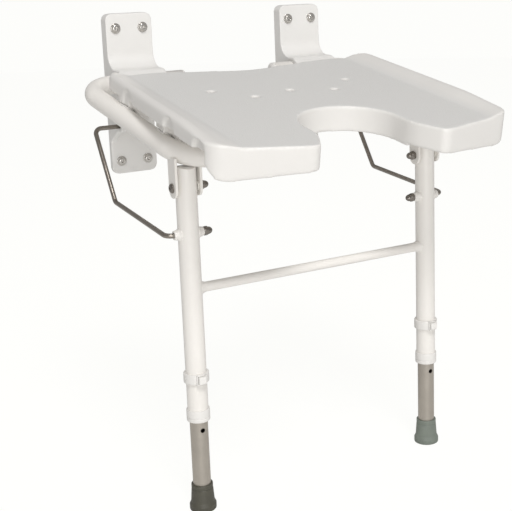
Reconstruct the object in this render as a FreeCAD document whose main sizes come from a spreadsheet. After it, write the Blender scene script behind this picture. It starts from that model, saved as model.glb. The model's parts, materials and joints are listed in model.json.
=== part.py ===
import FreeCAD, Part
import Sketcher
import math
import os

from FreeCAD import Placement, Rotation, Vector

# Wall-mounted folding shower seat
# Frame: X to the right as seen from the front, +Y into the wall, +Z up.
# The origin is the centre of the eight wall screws, on the wall's face.

doc = FreeCAD.newDocument("shower_seat")
sheet = doc.addObject("Spreadsheet::Sheet", "Sheet")

# Driving dimensions, in millimetres and degrees
SIZES = [
    ("fixing_x", 132.0, "bracket centre from the middle of the seat"),
    ("fixing_half_gap", 19.2, "screw from its bracket's centre line"),
    ("fixing_row", 90.5, "screw row above and below the origin"),
    ("bracket_width", 65.0, "wall bracket, side to side"),
    ("bracket_top", 110.0, "top of the bracket"),
    ("bracket_bottom", 108.0, "foot of the bracket below the origin"),
    ("plate_thick", 18.0, "upper plate of the bracket"),
    ("foot_plate_thick", 8.5, "lower plate of the bracket"),
    ("cove_radius", 22.0, "hollow between upper plate and shelf"),
    ("nose_wall", 6.5, "bracket nose around its bore"),
    ("shelf_rise", 4.0, "nose above its bore"),
    ("nose_round", 16.0, "rounding of the nose's front edges"),
    ("bracket_round", 9.0, "rounding of the bracket's plate corners"),
    ("screw_hole_radius", 2.6, "hole for a wall screw"),
    ("screw_neck_radius", 2.2, "wall screw inside the bracket's plate"),
    ("screw_thread_radius", 2.4, "wall screw in the wall"),
    ("screw_reach", 18.0, "wall screw beyond the bracket's back"),
    ("screw_rim_radius", 7.0, "flange of a wall screw's head"),
    ("screw_rim_thick", 1.2, "flange of a wall screw's head"),
    ("screw_dome_radius", 5.3, "dome of a wall screw's head"),
    ("screw_dome_height", 3.0, "dome of a wall screw's head"),
    ("socket_radius", 2.0, "drive socket"),
    ("socket_depth", 2.2, "drive socket"),
    ("pivot_out", 45.0, "seat pivot from the wall"),
    ("pivot_up", 19.0, "seat pivot above the origin"),
    ("rail_radius", 12.5, "outside of the seat frame's tube"),
    ("tube_wall", 1.5, "wall of the tubes"),
    ("rail_angle", 14.92, "seat frame's slope down to the front, degrees"),
    ("rail_inner_reach", 28.5, "side tube's rear end beyond its bracket"),
    ("rail_straight", 2.1, "side tube's straight run between bracket and rear bend"),
    ("taper_angle", 7.7, "side tubes' turn towards each other at the front, degrees"),
    ("rail_front_end", 130.0, "side tube's front end from the middle"),
    ("rail_length", 254.4, "frame's depth along its slope"),
    ("rail_rear_bend", 40.0, "centre radius of the rear bends"),
    ("rail_front_bend", 50.0, "centre radius of the front bends"),
    ("bush_thick", 1.5, "bush between bracket and tube"),
    ("running_gap", 0.05, "radial clearance of a turning or sliding fit"),
    ("seat_gap", 0.02, "clearance of a pressed or seated fit"),
    ("cap_dome", 5.0, "tube end cap's dome"),
    ("cap_spigot", 4.0, "tube end cap's length in the tube"),
    ("seat_angle", 9.09, "seat's slope down to the front, degrees"),
    ("seat_height", 48.3, "seat face's height, carried back to the wall"),
    ("seat_rear_half", 197.0, "seat's half width at its rear corners"),
    ("seat_half", 201.0, "seat's half width at its front corners"),
    ("seat_rim_rise", 9.0, "side rims above the seat face"),
    ("seat_rim_width", 11.0, "level top of a side rim"),
    ("seat_rim_ramp", 26.0, "width of the slope inside a side rim"),
    ("seat_skirt", 12.0, "seat's sides and rear below its face"),
    ("cut_skirt", 32.0, "cut-out's wall below the face"),
    ("seat_deck", 6.0, "thickness of the seat's deck"),
    ("seat_wall", 9.0, "thickness of the seat's sides"),
    ("seat_edge_round", 6.0, "rounding of the seat's top edge"),
    ("seat_rear_corner", 92.0, "rear corner from the wall, along the seat"),
    ("seat_rear_tail", 84.0, "rear edge where it reaches furthest back"),
    ("seat_rear_tail_x", 132.0, "place across the seat of that reach"),
    ("seat_rear_middle", 111.0, "rear edge in the middle"),
    ("seat_front_corner", 409.0, "front outer corner from the wall"),
    ("seat_front_lobe", 441.0, "front inner end of a lobe"),
    ("lobe_inner_half", 84.0, "cut-out's half width at the front"),
    ("seat_corner_radius", 26.0, "seat's rear outer corners"),
    ("seat_front_radius", 22.0, "seat's front outer corners"),
    ("lobe_corner_radius", 12.0, "lobe's inner corners"),
    ("cut_radius", 63.0, "rounded rear end of the cut-out"),
    ("cut_end", 309.0, "cut-out's rear end from the wall"),
    ("cut_side", 91.0, "cut-out's depth before it flares"),
    ("lobe_start", 391.0, "rear of the lobes' deep walls"),
    ("lobe_heel", 18.0, "slope at the rear foot of a lobe's outer wall"),
    ("lobe_skirt_outer", 40.0, "lobe's depth at its outer corner"),
    ("lobe_skirt_inner", 29.0, "lobe's depth at its inner end"),
    ("drain_radius", 5.0, "drain holes"),
    ("arch_depth", 6.0, "finger arches in the seat's sides"),
    ("arch_half", 15.0, "finger arch's half width"),
    ("arch_top", 3.0, "finger arch's top above the seat's face"),
    ("saddle_margin", 1.5, "moulded saddle beyond the clip's tab"),
    ("saddle_length", 24.0, "moulded saddle along the tube"),
    ("rear_saddle_at", 108.0, "rear saddles from the pivot, along the frame"),
    ("front_saddle_back", 58.4, "front saddles behind the frame's front run"),
    ("clip_thick", 1.6, "strip of the tube clips"),
    ("clip_width", 14.0, "tube clips along the tube"),
    ("clip_tab", 15.0, "clip's screw tab beyond the ring"),
    ("clip_screw_radius", 2.0, "clip screw shank"),
    ("clip_screw_length", 14.0, "clip screw shank"),
    ("clip_head_radius", 4.0, "clip screw head"),
    ("clip_head_height", 2.4, "clip screw head"),
    ("leg_x", 171.2, "leg from the middle"),
    ("leg_out", 271.0, "leg from the wall"),
    ("leg_pivot_drop", 40.05, "leg pivot below the frame's centre line"),
    ("leg_radius", 12.7, "outside of a leg's outer tube"),
    ("leg_head", 25.5, "leg's rounded top above its pivot"),
    ("collar_drop", 233.7, "height pin below the leg pivot"),
    ("sleeve_drop", 282.0, "guide sleeve's middle below the leg pivot"),
    ("foot_drop", 406.5, "sole below the leg pivot"),
    ("inner_leg_radius", 11.1, "outside of the inner leg"),
    ("inner_leg_wall", 1.2, "wall of the inner leg"),
    ("inner_leg_top_drop", 150.0, "top of the inner leg below the leg pivot"),
    ("hole_pitch", 22.3, "height holes"),
    ("height_hole_radius", 3.0, "height holes"),
    ("ear_gap", 1.3, "ear's clearance from the leg, for the washer"),
    ("ear_thick", 3.0, "clevis ear"),
    ("ear_depth", 20.0, "clevis ear, front to back"),
    ("ear_tail", 12.0, "clevis ear below the pivot"),
    ("ear_rise", 36.0, "clevis ear above the pivot"),
    ("bolt_radius", 3.0, "pivot bolts and stay rods"),
    ("bolt_head_radius", 5.7, "pivot bolt head"),
    ("bolt_head_height", 3.3, "pivot bolt head"),
    ("nut_flats", 10.0, "across the flats of the cap nuts"),
    ("nut_height", 5.0, "hexagon of the cap nuts"),
    ("nut_dome", 6.5, "dome of the cap nuts"),
    ("washer_radius", 6.0, "nylon washers"),
    ("link_drop", 56.0, "stay pivots below the seat and leg pivots"),
    ("stay_x", 199.0, "outer run of a stay from the middle"),
    ("stay_knee_out", 106.0, "stay's knee from the wall"),
    ("stay_knee_down", 125.0, "stay's knee below the origin"),
    ("stay_knee_radius", 9.0, "stay's knee bend"),
    ("stay_end_radius", 9.0, "stay's end bends"),
    ("link_gap", 0.3, "clearance of the stay in the leg's boss"),
    ("boss_reach", 18.8, "boss's end from the leg's centre line"),
    ("boss_root_radius", 7.5, "boss at the leg"),
    ("boss_tip_radius", 5.4, "boss at its ends"),
    ("lug_thick", 8.0, "bracket lug that carries the stay"),
    ("lug_radius", 8.5, "bracket lug around the stay"),
    ("lug_root_down", 62.0, "foot of the lug's rib below the origin"),
    ("retainer_thick", 2.0, "push-on ring on the stay's end"),
    ("retainer_radius", 6.0, "push-on ring on the stay's end"),
    ("bar_drop", 124.3, "cross-bar below the leg pivot"),
    ("bar_radius", 6.0, "cross-bar"),
    ("bar_wall", 1.2, "wall of the cross-bar"),
    ("collar_radius", 15.5, "height collar"),
    ("collar_height", 12.5, "height collar"),
    ("pin_radius", 2.9, "height pin"),
    ("pin_head", 9.5, "square button of the height pin"),
    ("pin_head_thick", 4.5, "square button of the height pin"),
    ("pin_head_gap", 0.3, "button's clearance from the collar"),
    ("sleeve_radius", 14.3, "guide sleeve"),
    ("sleeve_height", 15.0, "guide sleeve"),
    ("sleeve_lip", 1.6, "guide sleeve's lip under the tube"),
    ("ferrule_height", 33.5, "rubber foot"),
    ("ferrule_top_radius", 13.3, "rubber foot's neck"),
    ("ferrule_base_radius", 16.6, "rubber foot's sole"),
    ("ferrule_base_thick", 7.0, "rubber foot's sole"),
    ("cut_over", 2.0, "overrun of cuts"),
]
for row, (name, amount, note) in enumerate(SIZES, 1):
    sheet.set("A%d" % row, note)
    sheet.set("B%d" % row, str(amount))
    sheet.setAlias("B%d" % row, name)
doc.recompute()

# Places of the drain holes as shares of the half width and of the seat's depth
DRAIN_SHARES = [(-0.487, 0.305), (-0.284, 0.418), (0.0, 0.375), (0.284, 0.418), (0.487, 0.305)]
# Middles of the finger arches as shares of the seat's depth, rear corner to lobe end
ARCH_SHARES = [0.229, 0.593, 0.828]
DOME_SHARE = 0.6
# Turns a tube's seam away from its holes, in degrees
SEAM_TURN = 45
SIDES = {"left": -1, "right": 1}


def size(name):
    return float(sheet.get(name))


def cell(expression):
    """Worked-out value of an expression written with the sheet's names."""
    return float(sheet.evalExpression(expression))


# Worked-out places that several pieces share
rail_slope = math.tan(math.radians(size("rail_angle")))
pivot = Vector(0, -size("pivot_out"), size("pivot_up"))
leg_pivot = Vector(
    0,
    -size("leg_out"),
    size("pivot_up") - rail_slope * (size("leg_out") - size("pivot_out")) - size("leg_pivot_drop"),
)
stay_pivot = pivot - Vector(0, 0, size("link_drop"))
leg_link = leg_pivot - Vector(0, 0, size("link_drop"))
sole_z = leg_pivot.z - size("foot_drop")
pin_z = leg_pivot.z - size("collar_drop")
sleeve_z = leg_pivot.z - size("sleeve_drop")
tube_end_z = sleeve_z - size("sleeve_height") / 2 + size("sleeve_lip")
taper = math.radians(size("taper_angle"))
bend_tangent = size("rail_rear_bend") * math.tan((math.pi / 2 + taper) / 2)
bracket_side = size("fixing_x") + size("bracket_width") / 2
rail_rear_half = bracket_side + size("rail_straight") + bend_tangent
rail_front_half = rail_rear_half - size("rail_length") * math.tan(taper)
rail_inner_end = size("fixing_x") - size("bracket_width") / 2 - size("rail_inner_reach")
saddle_downs = (size("rear_saddle_at"), size("rail_length") - size("front_saddle_back"))


# Sketched bodies
def origin_plane(body, role):
    return [part for part in body.Origin.OriginFeatures if part.Role == role][0]


def new_sketch(body, name, role, lift=None):
    sketch = body.newObject("Sketcher::SketchObject", name)
    sketch.AttachmentSupport = [(origin_plane(body, role), "")]
    sketch.MapMode = "FlatFace"
    if lift:
        sketch.setExpression(".AttachmentOffset.Base.z", lift)
    return sketch


def tie_point(sketch, geometry, point, across, up):
    """Hold a sketch point at two distances from the sketch's origin, both tied to the sheet."""
    for kind, expression in (("DistanceX", across), ("DistanceY", up)):
        spot = sketch.addConstraint(Sketcher.Constraint(kind, -1, 1, geometry, point, cell(expression)))
        sketch.setExpression("Constraints[%d]" % spot, expression)


def add_outline(sketch, points):
    """A closed run of straight lines through corners given as pairs of expressions."""
    corners = [Vector(cell(across), cell(up), 0) for across, up in points]
    first = sketch.GeometryCount
    count = len(corners)
    for number in range(count):
        sketch.addGeometry(Part.LineSegment(corners[number], corners[(number + 1) % count]))
    for number in range(count):
        following = first + (number + 1) % count
        sketch.addConstraint(Sketcher.Constraint("Coincident", first + number, 2, following, 1))
    for number, (across, up) in enumerate(points):
        tie_point(sketch, first + number, 1, across, up)


def add_circle(sketch, across, up, radius):
    middle = Vector(cell(across), cell(up), 0)
    circle = sketch.addGeometry(Part.Circle(middle, Vector(0, 0, 1), cell(radius)))
    tie_point(sketch, circle, 3, across, up)
    spot = sketch.addConstraint(Sketcher.Constraint("Radius", circle, cell(radius)))
    sketch.setExpression("Constraints[%d]" % spot, radius)


def new_body(name):
    body = doc.addObject("PartDesign::Body", name)
    body.Label = name
    return body


def place(body, spot):
    body.Placement = Placement(spot, Rotation())


def pad(body, sketch, name, length, middle=False):
    feature = body.newObject("PartDesign::Pad", name)
    feature.Profile = sketch
    feature.setExpression("Length", length)
    if middle:
        feature.SideType = "Symmetric"
    doc.recompute()
    return feature


def pocket_through(body, sketch, name, length):
    before = body.Shape.Volume
    feature = body.newObject("PartDesign::Pocket", name)
    feature.Profile = sketch
    feature.SideType = "Symmetric"
    feature.setExpression("Length", length)
    doc.recompute()
    if not body.Shape.Volume < before:
        raise RuntimeError(name + " cuts nothing")
    return feature


def revolve(body, name, points, role="XZ_Plane"):
    """Turn a closed outline about the body's own Z axis, which is the sketch's upright axis."""
    sketch = new_sketch(body, name + "_outline", role)
    add_outline(sketch, points)
    feature = body.newObject("PartDesign::Revolution", name)
    feature.Profile = sketch
    feature.ReferenceAxis = (sketch, ["V_Axis"])
    feature.Angle = 360
    doc.recompute()
    return feature


def edge_names(shape, wanted):
    return ["Edge%d" % (number + 1) for number, edge in enumerate(shape.Edges) if wanted(edge)]


def near(one, other):
    return abs(one - other) < size("running_gap")


def is_cross_edge(edge, out, up):
    """A straight edge along X at the given place out from the wall and up."""
    spots = [vertex.Point for vertex in edge.Vertexes]
    return len(spots) == 2 and all(near(spot.y, -out) and near(spot.z, up) for spot in spots)


def round_edges(body, name, names, radius):
    base = body.Tip
    feature = body.newObject("PartDesign::Fillet", name)
    feature.Base = (base, names)
    feature.setExpression("Radius", radius)
    doc.recompute()
    return feature


# Free shapes made with the geometry functions
def keep(name, shape, at=None):
    """A sub-part whose shape is worked out below from the sheet's sizes."""
    feature = doc.addObject("Part::Feature", name)
    feature.Label = name
    feature.Shape = shape
    feature.Placement = at or Placement()
    return feature


def rod(start, end, radius):
    run = end - start
    return Part.makeCylinder(radius, run.Length, start, run)


def ring(start, end, outer, inner):
    return rod(start, end, outer).cut(rod(start, end, inner))


def bent_path(corners, radii):
    """Straight runs through the corners, with a tangent arc of its own radius at each bend."""
    edges = []
    here = corners[0]
    for before, corner, after, radius in zip(corners, corners[1:], corners[2:], radii):
        into = (corner - before).normalize()
        out = (after - corner).normalize()
        turn = into.getAngle(out)
        tangent = radius * math.tan(turn / 2)
        start = corner - into * tangent
        end = corner + out * tangent
        inward = (out - into).normalize()
        centre = corner + inward * (radius / math.cos(turn / 2))
        middle = centre - inward * radius
        edges.append(Part.LineSegment(here, start).toShape())
        edges.append(Part.Arc(start, middle, end).toShape())
        here = end
    edges.append(Part.LineSegment(here, corners[-1]).toShape())
    return Part.Wire(edges)


def bent_rod(path, radius):
    start = path.Edges[0].Vertexes[0].Point
    ahead = path.Edges[0].tangentAt(path.Edges[0].FirstParameter)
    circle = Part.Wire([Part.Circle(start, ahead, radius).toShape()])
    return path.makePipeShell([circle], True, False)


# Wall brackets
def make_bracket(name, side):
    """Plate with a nose for the seat's pivot and, on the outer side, a lug for the stay."""
    body = new_body(name)
    place(body, Vector(side * size("fixing_x"), 0, 0))
    bore = "(Sheet.rail_radius + Sheet.running_gap + Sheet.bush_thick + Sheet.seat_gap)"
    nose_front = "-(Sheet.pivot_out + %s + Sheet.nose_wall)" % bore
    nose_under = "(Sheet.pivot_up - %s - Sheet.nose_wall)" % bore
    shelf = "(Sheet.pivot_up + %s + Sheet.shelf_rise)" % bore
    profile = new_sketch(body, name + "_profile", "YZ_Plane")
    add_outline(profile, [
        ("0", "-Sheet.bracket_bottom"),
        ("-Sheet.foot_plate_thick", "-Sheet.bracket_bottom"),
        ("-Sheet.foot_plate_thick", nose_under + " - Sheet.plate_thick"),
        ("-Sheet.pivot_out", nose_under),
        (nose_front, nose_under),
        (nose_front, shelf),
        ("-Sheet.plate_thick", shelf),
        ("-Sheet.plate_thick", "Sheet.bracket_top"),
        ("0", "Sheet.bracket_top"),
    ])
    pad(body, profile, name + "_plate", "Sheet.bracket_width", middle=True)

    lug = new_sketch(body, name + "_lug_outline", "YZ_Plane",
                     "%d * (Sheet.bracket_width - Sheet.lug_thick) / 2" % side)
    lug_up = "(Sheet.pivot_up - Sheet.link_drop)"
    add_outline(lug, [
        ("0", "-Sheet.lug_root_down"),
        ("-Sheet.foot_plate_thick", "-Sheet.lug_root_down"),
        ("-Sheet.pivot_out + Sheet.lug_radius", lug_up + " - Sheet.lug_radius"),
        ("-Sheet.pivot_out - Sheet.lug_radius / 2", lug_up + " - Sheet.lug_radius"),
        ("-Sheet.pivot_out - Sheet.lug_radius", lug_up + " - Sheet.lug_radius / 2"),
        ("-Sheet.pivot_out - Sheet.lug_radius", nose_under + " + Sheet.nose_wall / 2"),
        ("0", nose_under + " + Sheet.nose_wall / 2"),
    ])
    pad(body, lug, name + "_lug", "Sheet.lug_thick", middle=True)

    cove = edge_names(body.Shape, lambda edge: is_cross_edge(edge, size("plate_thick"), cell(shelf)))
    round_edges(body, name + "_cove", cove, "Sheet.cove_radius")
    nose = edge_names(body.Shape, lambda edge: any(
        is_cross_edge(edge, -cell(nose_front), up) for up in (cell(shelf), cell(nose_under))))
    round_edges(body, name + "_nose_round", nose, "Sheet.nose_round")

    bores = new_sketch(body, name + "_bores", "YZ_Plane")
    add_circle(bores, "-Sheet.pivot_out", "Sheet.pivot_up", bore)
    add_circle(bores, "-Sheet.pivot_out", lug_up, "Sheet.bolt_radius + Sheet.running_gap")
    pocket_through(body, bores, name + "_bore", "2 * Sheet.bracket_width")

    holes = new_sketch(body, name + "_holes", "XZ_Plane")
    for across in ("-Sheet.fixing_half_gap", "Sheet.fixing_half_gap"):
        for up in ("-Sheet.fixing_row", "Sheet.fixing_row"):
            add_circle(holes, across, up, "Sheet.screw_hole_radius")
    pocket_through(body, holes, name + "_screw_holes", "4 * Sheet.plate_thick")

    def is_plate_corner(edge):
        spots = [vertex.Point for vertex in edge.Vertexes]
        if len(spots) != 2 or not near(spots[0].z, spots[1].z):
            return False
        at_end = near(spots[0].z, size("bracket_top")) or near(spots[0].z, -size("bracket_bottom"))
        return at_end and near(spots[0].x, spots[1].x) and not near(spots[0].y, spots[1].y)

    round_edges(body, name + "_corners", edge_names(body.Shape, is_plate_corner), "Sheet.bracket_round")
    return body


def make_bush(name, side):
    """Sleeve between the bracket's bore and the frame's tube."""
    body = new_body(name)
    place(body, pivot + Vector(side * size("fixing_x"), 0, 0))
    section = new_sketch(body, name + "_section", "YZ_Plane")
    inner = "Sheet.rail_radius + Sheet.running_gap"
    add_circle(section, "0", "0", inner + " + Sheet.bush_thick")
    add_circle(section, "0", "0", inner)
    pad(body, section, name + "_sleeve", "Sheet.bracket_width", middle=True)
    return body


def screw(seat_at, along, shank_radius, shank_length, rim_radius, rim_thick, dome_radius, dome_height):
    """Flanged round-head screw. Its flange lies on seat_at and its shank runs along the given way."""
    shape = rod(seat_at, seat_at + along * shank_length, shank_radius)
    rim_top = seat_at - along * rim_thick
    shape = shape.fuse(rod(rim_top, seat_at, rim_radius))
    dome = Part.makeCone(dome_radius, dome_radius * DOME_SHARE, dome_height, rim_top, along * -1)
    crown = rim_top - along * dome_height
    socket = rod(crown, crown + along * size("socket_depth"), size("socket_radius"))
    return shape.fuse(dome).cut(socket)


def make_wall_screws():
    screws = []
    for side in SIDES.values():
        for across in (-1, 1):
            for up, plate in ((1, size("plate_thick")), (-1, size("foot_plate_thick"))):
                spot = Vector(
                    side * size("fixing_x") + across * size("fixing_half_gap"),
                    -plate,
                    up * size("fixing_row"),
                )
                head = screw(
                    spot, Vector(0, 1, 0), size("screw_neck_radius"), plate,
                    size("screw_rim_radius"), size("screw_rim_thick"),
                    size("screw_dome_radius"), size("screw_dome_height"))
                wall = Vector(spot.x, 0, spot.z)
                thread = rod(wall, wall + Vector(0, size("screw_reach"), 0), size("screw_thread_radius"))
                screws.append(head.fuse(thread))
    return keep("wall_screws", Part.makeCompound(screws))


# Side tubes of the seat's frame
rail_place = Placement(pivot, Rotation(Vector(1, 0, 0), size("rail_angle")))


def rail_corners(side):
    """Run of a side tube from its rear end, through the bracket and out, to its front end."""
    down = -size("rail_length")
    spots = (
        (rail_inner_end, 0),
        (rail_rear_half, 0),
        (rail_front_half, down),
        (size("rail_front_end"), down),
    )
    return [Vector(side * across, along, 0) for across, along in spots]


def rail_solid(side, radius):
    bends = [size("rail_rear_bend"), size("rail_front_bend")]
    return bent_rod(bent_path(rail_corners(side), bends), radius)


def rail_across(down):
    """Centre of the side tube, across, at a distance from the pivot along the frame."""
    return rail_rear_half - down * math.tan(taper)


def make_side_tube(name, side):
    radius = size("rail_radius")
    shape = rail_solid(side, radius).cut(rail_solid(side, radius - size("tube_wall")))
    return keep(name, shape, rail_place)


def make_end_caps():
    """Domed plugs in both ends of each side tube."""
    caps = []
    radius = size("rail_radius")
    spigot_radius = radius - size("tube_wall") - size("seat_gap")
    flat = radius * DOME_SHARE
    step = size("cap_dome") / 2
    for side in SIDES.values():
        corners = rail_corners(side)
        inward = Vector(-side, 0, 0)
        for end in (corners[0], corners[-1]):
            cap = rod(end, end - inward * size("cap_spigot"), spigot_radius)
            cap = cap.fuse(rod(end, end + inward * step, radius))
            cap = cap.fuse(Part.makeCone(radius, flat, step, end + inward * step, inward))
            caps.append(cap.removeSplitter())
    return keep("rail_end_caps", Part.makeCompound(caps), rail_place)


# Seat shell, in its own frame: X across, Y back along the seat, Z square to its face
seat_place = Placement(Vector(0, 0, size("seat_height")), Rotation(Vector(1, 0, 0), size("seat_angle")))


def rounded_loop(corners):
    """Closed wire of straight lines whose corners are rounded, each by its own radius."""
    count = len(corners)
    ends = []
    arcs = []
    for number in range(count):
        corner, radius = corners[number]
        into = (corner - corners[number - 1][0]).normalize()
        out = (corners[(number + 1) % count][0] - corner).normalize()
        turn = into.getAngle(out)
        tangent = radius * math.tan(turn / 2)
        start = corner - into * tangent
        end = corner + out * tangent
        inward = (out - into).normalize()
        middle = corner + inward * (radius / math.cos(turn / 2) - radius)
        ends.append((start, end))
        arcs.append(Part.Arc(start, middle, end).toShape())
    edges = []
    for number in range(count):
        edges.append(arcs[number])
        start = ends[number][1]
        end = ends[(number + 1) % count][0]
        if (end - start).Length > size("running_gap"):
            edges.append(Part.LineSegment(start, end).toShape())
    return Part.Wire(edges)


def seat_outline(inset=0):
    """Horseshoe seen from above, drawn in by an inset for the inside of its sides."""
    half = size("seat_half")
    tail_x = size("seat_rear_tail_x")
    corner = size("seat_corner_radius")
    front = size("seat_front_radius")
    lobe = size("lobe_corner_radius")
    cut = size("cut_radius")
    sweep = size("seat_rear_middle")
    right = [
        (tail_x, -size("seat_rear_tail"), corner * 2),
        (size("seat_rear_half"), -size("seat_rear_corner"), corner),
        (half, -size("seat_front_corner"), front),
        (size("lobe_inner_half"), -size("seat_front_lobe"), lobe),
        (cut, -(size("cut_end") + size("cut_side")), cut),
        (cut, -size("cut_end"), cut - size("cut_over")),
    ]
    spots = [(Vector(0, -sweep, 0), corner * 4)]
    spots += [(Vector(x, y, 0), radius) for x, y, radius in right]
    spots += [(Vector(-x, y, 0), radius) for x, y, radius in right[::-1]]
    loop = rounded_loop(spots)
    if inset:
        return Part.Face(Part.Face(loop).makeOffset2D(-inset).OuterWire)
    return Part.Face(loop)


def channel(half_floor, half_top, floor, top, near_end, far_end):
    """Long trough across which the seat's face is lowered, with sloping sides."""
    spots = [(-half_floor, floor), (half_floor, floor), (half_top, top), (-half_top, top)]
    loop = Part.makePolygon([Vector(x, near_end, z) for x, z in spots + spots[:1]])
    return Part.Face(loop).extrude(Vector(0, far_end - near_end, 0))


def seat_depth_at(share):
    """Distance from the wall along the seat, for a share from the rear corner to the lobe's end."""
    return size("seat_rear_corner") + share * (size("seat_front_lobe") - size("seat_rear_corner"))


def saddle_blocks():
    """Blocks between the deck and the inner halves of the frame's tubes, in the seat's own frame."""
    to_seat = seat_place.inverse()
    radius = size("rail_radius")
    tab_reach = radius + size("clip_thick") + size("clip_tab") + size("saddle_margin")
    along = size("saddle_length")
    blocks = []
    for side in SIDES.values():
        for down in saddle_downs:
            middle = to_seat.multVec(rail_place.multVec(Vector(side * rail_across(down), -down, 0)))
            outer = abs(middle.x)
            inner = outer - tab_reach
            low = middle.z - 2 * radius
            left = min(side * inner, side * outer)
            blocks.append(Part.makeBox(
                outer - inner, along, -low - size("seat_deck") / 2, Vector(left, middle.y - along / 2, low)))
    half = 2 * size("seat_half")
    depth = 2 * size("rail_length")
    under = Part.makeBox(2 * half, depth, 4 * radius, Vector(-half, -depth, -4 * radius - radius / 2))
    under.Placement = to_seat.multiply(rail_place)
    return [block.cut(under) for block in blocks]


def make_seat():
    over = size("cut_over")
    front = size("seat_front_lobe") + over
    rim = size("seat_rim_rise")
    skirt = size("seat_skirt")
    deep = size("lobe_skirt_outer")
    half = size("seat_half")
    plan = seat_outline()
    slab = plan.extrude(Vector(0, 0, deep + rim))
    slab.translate(Vector(0, 0, -deep))
    top_edges = [edge for edge in slab.Edges if all(near(spot.Z, rim) for spot in edge.Vertexes)]
    slab = slab.makeFillet(size("seat_edge_round"), top_edges)

    # low sides and rear, a deeper wall round the cut-out, and lobes that deepen towards their outer corners
    inner = size("lobe_inner_half") - size("lobe_corner_radius")
    wide = half + over
    lobes = size("lobe_start")
    cut_wall = size("cut_radius") + 2 * size("seat_wall")
    behind_cut = size("cut_end") - 2 * size("seat_wall")
    slab = slab.cut(Part.makeBox(2 * wide, lobes, deep, Vector(-wide, -lobes, -deep - size("cut_skirt"))))
    slab = slab.cut(Part.makeBox(2 * wide, behind_cut, deep, Vector(-wide, -behind_cut, -deep - skirt)))
    for left in (-wide, cut_wall):
        slab = slab.cut(Part.makeBox(wide - cut_wall, lobes, deep, Vector(left, -lobes, -deep - skirt)))
    spots = [
        (-wide, -deep), (-inner, -size("lobe_skirt_inner")), (inner, -size("lobe_skirt_inner")),
        (wide, -deep), (wide, -2 * deep), (-wide, -2 * deep),
    ]
    loop = Part.makePolygon([Vector(x, -front, z) for x, z in spots + spots[:1]])
    slab = slab.cut(Part.Face(loop).extrude(Vector(0, front - lobes, 0)))
    heel = size("lobe_heel")
    spots = [
        (-lobes, heel - deep),
        (-lobes - heel, -deep),
        (-lobes - heel, -deep - over),
        (-lobes, -deep - over),
    ]
    for left in (-wide, half - size("seat_wall") - over):
        loop = Part.makePolygon([Vector(left, y, z) for y, z in spots + spots[:1]])
        slab = slab.cut(Part.Face(loop).extrude(Vector(size("seat_wall") + 2 * over, 0, 0)))

    # underside opened up between the sides
    hollow = seat_outline(size("seat_wall")).extrude(Vector(0, 0, deep + over - size("seat_deck")))
    hollow.translate(Vector(0, 0, -deep - over))
    slab = slab.cut(hollow)
    for block in saddle_blocks():
        slab = slab.fuse(block)

    # face lowered between the side rims
    ramp_top = half - size("seat_rim_width")
    slab = slab.cut(channel(ramp_top - size("seat_rim_ramp"), ramp_top, 0, rim, over, -front))
    above = Part.makeBox(2 * half, front, rim, Vector(-half, -front, rim))
    slab = slab.cut(above)

    # drain holes
    for across, along in DRAIN_SHARES:
        spot = Vector(across * half, -seat_depth_at(along), -deep)
        slab = slab.cut(rod(spot, spot + Vector(0, 0, deep + rim), size("drain_radius")))

    # finger arches in the sides: a slot with a round top, cut in from outside
    radius = size("arch_half")
    for side in SIDES.values():
        for share in ARCH_SHARES:
            outer = Vector(side * (half + over), -seat_depth_at(share), size("arch_top") - radius)
            inner_end = outer - Vector(side * (size("arch_depth") + over), 0, 0)
            slab = slab.cut(rod(outer, inner_end, radius))
            slot = Part.makeBox(abs(inner_end.x - outer.x), 2 * radius, skirt + over)
            slot.translate(Vector(min(inner_end.x, outer.x), outer.y - radius, outer.z - skirt - over))
            slab = slab.cut(slot)

    # room for the frame's tube and its clips
    room = size("rail_radius") + size("clip_thick") + size("pin_head_gap")
    for side in SIDES.values():
        tube = rail_solid(side, room)
        tube.Placement = seat_place.inverse().multiply(rail_place)
        slab = slab.cut(tube)
    for start, along in clip_screw_spots():
        start = seat_place.inverse().multVec(start)
        along = seat_place.inverse().Rotation.multVec(along)
        slab = slab.cut(rod(start, start + along * (size("clip_screw_length") + over),
                            size("clip_screw_radius") + size("seat_gap")))
    solids = sorted(slab.Solids, key=lambda solid: solid.Volume)
    return keep("seat_shell", solids[-1].removeSplitter(), seat_place)


# Clips that hold the frame's tube to the saddles, in the frame's own plane
def clip_spots():
    """Centre of each clip, the way along its tube and the way to its screw tab."""
    spots = []
    for side in SIDES.values():
        along = Vector(-side * math.sin(taper), -math.cos(taper), 0)
        for down in saddle_downs:
            spots.append((Vector(side * rail_across(down), -down, 0), along, along.cross(Vector(0, 0, side))))
    return spots


def clip_tab_height():
    """Top of the clips' tabs below the frame's centre line: the saddles' under side."""
    return size("rail_radius") / 2 + size("pin_head_gap")


def clip_screw_spots():
    """Head seat and direction of each clip screw, in the part's frame."""
    spots = []
    reach = size("rail_radius") + size("clip_thick") + size("clip_tab") / 2
    for middle, along, tab in clip_spots():
        seat_at = middle + tab * reach - Vector(0, 0, clip_tab_height() + size("clip_thick"))
        spots.append((rail_place.multVec(seat_at), rail_place.Rotation.multVec(Vector(0, 0, 1))))
    return spots


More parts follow.
